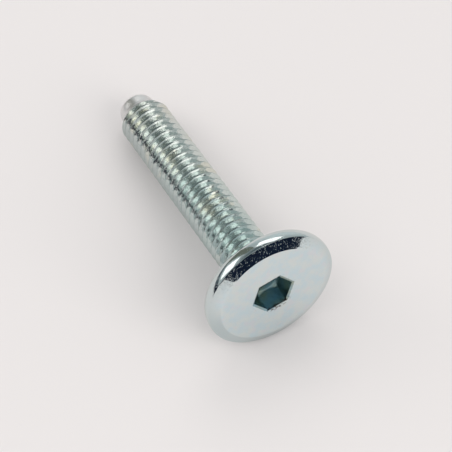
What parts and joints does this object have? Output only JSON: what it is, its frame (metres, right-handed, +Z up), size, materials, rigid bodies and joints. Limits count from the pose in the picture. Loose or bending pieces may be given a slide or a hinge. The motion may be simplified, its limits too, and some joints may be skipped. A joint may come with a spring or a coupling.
{
  "type": "furniture connector bolt",
  "caption": "Wide flat-head connector bolt with bevelled head, hexagon socket, full-length metric thread and rounded pilot point, lying on its side.",
  "frame": {"origin": "on the floor, under the middle of the lying bolt's box", "axes": "+Z up from the floor; +X along the lying bolt, from its point to its head; the bolt's own axis leans 8.83 degrees down towards the point; +Y across it"},
  "size_m": [0.034, 0.015, 0.0149],
  "materials": {
    "zinc_plated_steel": "bright clear zinc plate over cold-headed, thread-rolled steel"
  },
  "bodies": {
    "root": {"connector_bolt": "zinc_plated_steel"}
  },
  "joints": []
}
